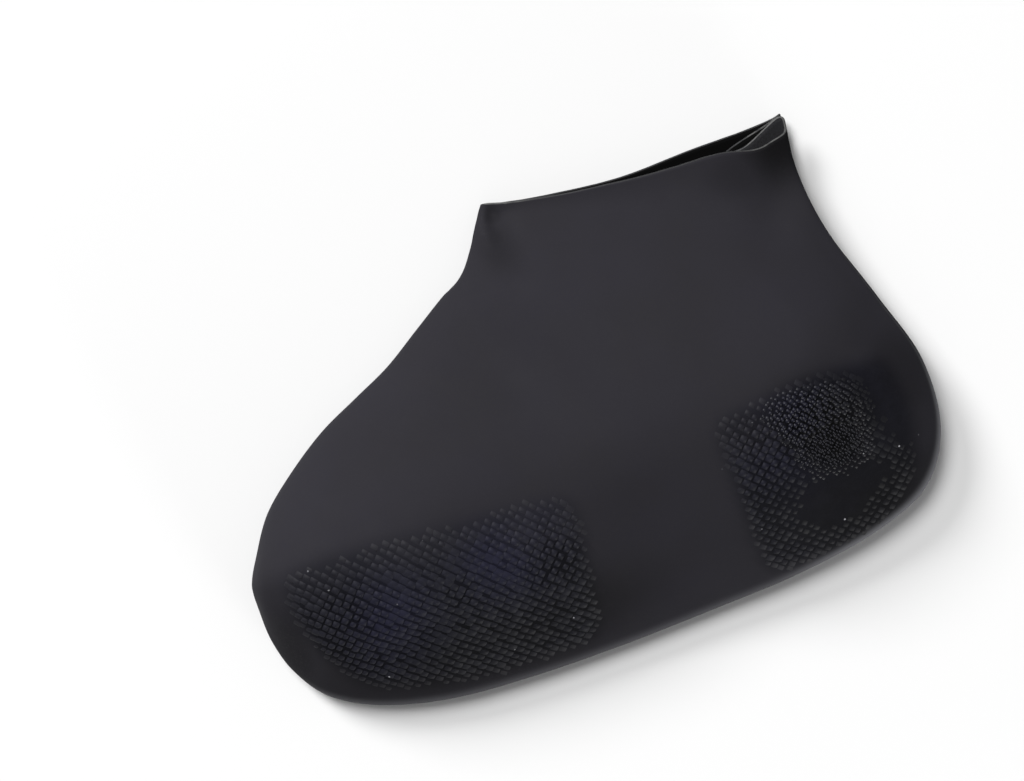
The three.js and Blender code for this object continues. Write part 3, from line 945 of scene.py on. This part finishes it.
# The grooves' colour is painted shade.
GROOVES = (linear(19, 19, 24), linear(19, 19, 32))
# The bead's plain colour, and its painted highlight.
BEAD_AND_HIGHLIGHT = (linear(22, 22, 25), linear(76, 76, 75))
SHADED = linear(6, 6, 6)
# The inside is painted nearly black as shade.
INSIDE_SHADE = linear(4, 4, 4)
LINING = linear(38, 38, 40)
# A painted reflection of the white floor, for the edge of the sole.
PAINTED_FLOOR_REFLECTION = linear(108, 108, 112)
BLOOM = linear(75, 75, 78)
# White powder specks, which also stand in for painted glints on the tread.
SPECK_AND_GLINT = linear(165, 165, 170)
MOTTLING, TREAD_BLOTCHES, POWDER_GRAINS = 38 * MM, 3.2 * MM, 0.9 * MM
SPECK_SPACING, SHINE_PATCHES = 7 * MM, 9 * MM
SOFT_LUMPS, SOFT_LUMP_DEPTH = 6 * MM, 0.1 * MM
PITS, PIT_DEPTH = 0.6 * MM, 0.03 * MM
FLOOR_REFLECTION_SHARE = 0.78


def latex(name, shine, rough=(0.7, 0.76)):
    """The outside of the film: plain body, tread, painted shade, a painted floor reflection, powder and
    specks.

    `size` is how tall a knob stands, so a worn knob has the colour of the groove round it. `polish` is
    how smooth the film is worn between the knobs, which lightens it towards the knobs' colour.
    """
    f = Finish(name)
    mottled = f.ranged(f.noise(MOTTLING, 2.0), 0.35, 0.65)
    body = f.blend(mottled, *BODY)
    knobs = f.blend(f.attribute("blue"), *KNOBS)
    grooves = f.blend(f.attribute("blue"), *GROOVES)
    raised = f.add("ShaderNodeMath", {0: f.attribute("size"), 1: f.attribute("polish")}, operation="MAXIMUM")
    uneven = f.ranged(f.noise(TREAD_BLOTCHES, 2.0), 0.35, 0.7, 0.0, 0.55)
    tread = f.blend(uneven, f.blend(raised.outputs[0], grooves, knobs), grooves)
    colour = f.blend(f.attribute("tread"), body, tread)
    low_down = f.ranged(raised.outputs[0], 0.0, 1.0, 1.0, 0.5)
    # Painted shade, halved on the raised knobs.
    colour = f.blend(f.times(f.attribute("dark"), low_down), colour, SHADED)
    # A painted reflection of the white floor on the edge of the sole.
    colour = f.blend(f.times(f.attribute("pale"), FLOOR_REFLECTION_SHARE), colour, PAINTED_FLOOR_REFLECTION)
    # Powder bloom everywhere, raised along some edges into a painted highlight.
    powder = f.ranged(f.noise(POWDER_GRAINS, 4.0, 0.7), 0.5, 0.75)
    reach = f.ranged(f.attribute("dust"), 0.0, 1.0, 0.03, 0.2)
    colour = f.blend(f.times(powder, reach), colour, BLOOM)
    # White powder specks on the tread, which also stand in for painted glints.
    cells = f.add("ShaderNodeTexVoronoi", {"Vector": f.place, "Scale": 1 / SPECK_SPACING})
    near = f.ranged(cells.outputs["Distance"], 0.03, 0.065, 1.0, 0.0)
    split = f.add("ShaderNodeSeparateColor", {"Color": cells.outputs["Color"]})
    chosen = f.add("ShaderNodeMath", {0: split.outputs[0], 1: 0.5}, operation="GREATER_THAN").outputs[0]
    speck_and_glint = f.times(f.times(near, chosen), f.attribute("tread"))
    f.link(f.blend(speck_and_glint, colour, SPECK_AND_GLINT), f.shader.inputs["Base Color"])
    f.link(f.ranged(f.noise(SHINE_PATCHES, 3.0), 0.3, 0.7, *rough), f.shader.inputs["Roughness"])
    soft = f.bump(f.noise(SOFT_LUMPS, 2.0), SOFT_LUMP_DEPTH, 0.25)
    fine = f.bump(f.noise(PITS, 3.0, 0.6), PIT_DEPTH, 0.4, soft)
    f.link(fine, f.shader.inputs["Normal"])
    f.shader.inputs["Specular IOR Level"].default_value = shine
    return f.material


def inside_latex():
    """The inside of the film: painted nearly black as shade, but dusty where it shows in the pleat of the
    mouth.
    """
    f = Finish("inside latex")
    grains = f.ranged(f.noise(0.5 * MM, 4.0, 0.7), 0.3, 0.7, 0.35, 1.0)
    f.link(f.blend(f.times(grains, f.attribute("lining")), INSIDE_SHADE, LINING), f.shader.inputs["Base Color"])
    f.shader.inputs["Roughness"].default_value = 0.7
    f.shader.inputs["Specular IOR Level"].default_value = 0.03
    return f.material


def edge_latex():
    """The rolled edge, with a painted highlight where it is folded sharply."""
    f = Finish("edge latex")
    highlight_patches = f.ranged(f.noise(2.5 * MM, 3.0), 0.3, 0.6)
    f.link(f.blend(f.times(highlight_patches, f.attribute("bead_highlight")), *BEAD_AND_HIGHLIGHT), f.shader.inputs["Base Color"])
    f.shader.inputs["Roughness"].default_value = 0.5
    f.shader.inputs["Specular IOR Level"].default_value = 0.3
    return f.material


film_latex = latex("film latex", 0.05)
tread_latex = latex("tread latex", 0.13, (0.56, 0.66))
pebble_latex = latex("pebble latex", 0.21, (0.42, 0.5))
bead_latex = edge_latex()
print("finishes:", [finish.name for finish in (film_latex, tread_latex, pebble_latex, bead_latex)])


def paint_film():
    """Latex outside, and the inside's finish, painted nearly black as shade, on the inner face and in the
    pleat's pocket.
    """
    for material in (film_latex, inside_latex()):
        film.data.materials.append(material)
    wall.material_offset = 1
    pocket = marks_on_film["pocket"]
    for face in film.data.polygons:
        face.material_index = int(pocket[list(face.vertices)].min() > 0.5)


paint_film()
print("materials on the film:", [material.name for material in film.data.materials])

# %% [markdown]
# ## Knobs, pebbles and grain
#
# Most of the tread is square knobs in an even grid. In the middle of the heel it is puckered, and they give
# way to small round pebbles and then to fine grain. Each could be a shape of its own, but at this size the
# same knob will do, laid by the same tree, only narrower, closer together and less evenly.

# %% Lay the knobs
GROOVE_TURN = math.radians(-45)
LAYOUTS = {
    "knobs": {
        "attribute": "amount", "material": tread_latex, "Pitch": 2.95 * MM, "Width": 2.62 * MM,
        "Height": 0.66 * MM, "Ridge Stretch": 0.4, "Unevenness": 0.13, "Height Luck": 0.45,
        "Least Amount": 0.14, "Seed": 4.0,
    },
    "pebbles": {
        "attribute": "pebbles", "material": pebble_latex, "Pitch": 1.8 * MM, "Width": 1.62 * MM,
        "Height": 0.75 * MM, "Ridge Stretch": 0.3, "Unevenness": 0.24, "Height Luck": 0.5,
        "Least Amount": 0.12, "Seed": 6.0,
    },
    "grain": {
        "attribute": "grain", "material": pebble_latex, "Pitch": 1.25 * MM, "Width": 0.98 * MM,
        "Height": 0.7 * MM, "Ridge Stretch": 0.1, "Unevenness": 0.3, "Height Luck": 0.3,
        "Least Amount": 0.2, "Seed": 9.0,
    },
}


def lay(tread, layout):
    patch, extent, middle = patches[tread]
    settings = dict(LAYOUTS[layout])
    tree = knob_tree(settings.pop("attribute"))
    settings |= {
        "Extent Along": float(extent[0]), "Extent Up": float(extent[1]),
        "Middle Along": float(middle[0]), "Middle Up": float(middle[1]),
        "Turn": GROOVE_TURN, "Knob": knob, "Material": settings.pop("material"),
    }
    return tree.apply(patch, settings, f"{tread}_tread_{layout}")


treads = [lay("ball", "knobs"), lay("heel", "knobs"), lay("heel", "pebbles"), lay("heel", "grain")]
for piece in treads:
    print(piece.name, "faces:", len(piece.data.polygons))
for patch, _, _ in patches.values():
    bpy.data.objects.remove(patch)
bpy.data.objects.remove(knob)

# %% [markdown]
# ## The rolled bead
#
# The film's edge is rolled outwards into a bead while it is still wet. A bead follows the rim, so Geometry
# Nodes sweep a circle along it, with a little noise on the radius, because a roll made by hand is never
# perfectly even.

# %% Sweep the bead along the rim
RIM_POINTS = 420
BEAD_SIDES = 12


def rim_loop():
    around = np.arange(RIM_POINTS) / RIM_POINTS * len(FORM)
    place = np.full(RIM_POINTS, float(LAST_STATION))
    middle = outer_points(around, place) - outer_normals(around, place) * (WALL - BEAD_RADIUS)
    edges = [(i, (i + 1) % RIM_POINTS) for i in range(RIM_POINTS)]
    line = mesh_object("rim_line", middle + SHIFT, [], edges)
    # A painted highlight on the bead's upper side, at the mouth's corners.
    upper = 1 - smoothstep(around, 15.4, 16.2)
    store(line.data, "bead_highlight", upper * spots(PAINTED_BEAD_HIGHLIGHTS, middle[:, 0], middle[:, 1]))
    return line


def bead_tree():
    t = Tree("bead along the rim", ("Radius", "Sides", "Unevenness", "Lump Size"), materials=["Material"])
    size = t.given.outputs
    line = t.add("GeometryNodeMeshToCurve", {"Mesh": size["Geometry"]}).outputs[0]
    lumps = t.add("ShaderNodeTexNoise", {"Scale": t.math("DIVIDE", 1.0, size["Lump Size"])}).outputs["Fac"]
    swing = t.math("MULTIPLY", t.math("SUBTRACT", lumps, 0.5), size["Unevenness"])
    profile = t.add(
        "GeometryNodeCurvePrimitiveCircle", {"Resolution": size["Sides"], "Radius": size["Radius"]}
    ).outputs[0]
    scale = t.math("ADD", swing, 1.0)
    links = {"Curve": line, "Profile Curve": profile, "Scale": scale}
    swept = t.add("GeometryNodeCurveToMesh", links).outputs[0]
    t.finish(swept, size["Material"])
    return t


rim_line = rim_loop()
bead_sizes = {
    "Radius": BEAD_RADIUS, "Sides": float(BEAD_SIDES), "Unevenness": 0.5, "Lump Size": 9 * MM,
    "Material": bead_latex,
}
bead = bead_tree().apply(rim_line, bead_sizes, "rolled_bead")
bpy.data.objects.remove(rim_line)
print("bead faces:", len(bead.data.polygons))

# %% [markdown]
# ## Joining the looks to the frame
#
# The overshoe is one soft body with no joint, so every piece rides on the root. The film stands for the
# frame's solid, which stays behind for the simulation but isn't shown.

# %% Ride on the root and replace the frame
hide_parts("latex_shell")
for piece in (film, bead, *treads):
    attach(piece, "root")

# %% [markdown]
# ## The studio
#
# A white floor and two large soft lights from the upper left, as in a catalogue picture. The low key
# throws the shadow to the lower right, and the high key, which stands steeper, lights its outer part.
# Both stand several metres off, so the floor is lit evenly. A small weak light, nearly level with the
# floor at the lower right, brightens the edge of the sole, and a little light comes from all round.

# %% Make the floor and the lights
FLOOR_SIZE = 6.0
SURFACE = linear(221, 221, 221)
ROOM_LIGHT = 0.21
LIGHT_AIM = Vector((0, 0, 0.01))
# name, place, size across and power
LIGHTS = [
    ("low key", (-2.61, 4.71, 3.5), 2.2, 370),
    ("high key", (-1.04, 2.86, 5.74), 3.0, 311),
    ("front light", (0.3, -1.06, 0.11), 0.4, 7.8),
]


def floor_plane():
    half = FLOOR_SIZE / 2
    corners = [(-half, -half, 0), (half, -half, 0), (half, half, 0), (-half, half, 0)]
    plane = mesh_object("floor", corners, [(0, 1, 2, 3)])
    paper = Finish("white paper")
    paper.link(SURFACE, paper.shader.inputs["Base Color"])
    paper.shader.inputs["Roughness"].default_value = 0.9
    plane.data.materials.append(paper.material)


def soft_light(name, place, size, power):
    data = bpy.data.lights.new(name, "AREA")
    data.shape = "DISK"
    data.size = size
    data.energy = power
    lamp = bpy.data.objects.new(name, data)
    lamp.location = place
    lamp.rotation_euler = (Vector(place) - LIGHT_AIM).to_track_quat("Z", "Y").to_euler()
    bpy.context.scene.collection.objects.link(lamp)


floor_plane()
for light in LIGHTS:
    soft_light(*light)
world = bpy.data.worlds.new("studio")
world.use_nodes = True
background = world.node_tree.nodes["Background"].inputs
background["Color"].default_value = (1, 1, 1, 1)
background["Strength"].default_value = ROOM_LIGHT
bpy.context.scene.world = world
bpy.context.scene.view_settings.view_transform = "Standard"
print("lights:", [light[0] for light in LIGHTS])

# %% [markdown]
# ## The camera
#
# The overshoe is seen from straight above, turned so that its sole rises 18 degrees to the right. A long
# lens keeps the perspective weak. The view's width at the floor and the point that it looks at place the
# overshoe in the picture.

# %% Place the camera
ROLL = math.radians(18)
VIEW_WIDTH = 0.3752
LENS = 120.0
AIM = Vector((-0.0169, 0.0164, 0.012))
FARTHEST_SEEN = 20.0

camera_data = bpy.data.cameras.new("camera")
camera_data.lens = LENS
camera = bpy.data.objects.new("camera", camera_data)
distance = VIEW_WIDTH * LENS / camera_data.sensor_width
camera.location = AIM + Vector((0, 0, distance))
camera.rotation_euler = (0, 0, -ROLL)
camera_data.clip_end = FARTHEST_SEEN
bpy.context.scene.collection.objects.link(camera)
bpy.context.scene.camera = camera
print("camera height, m:", round(camera.location.z, 3))
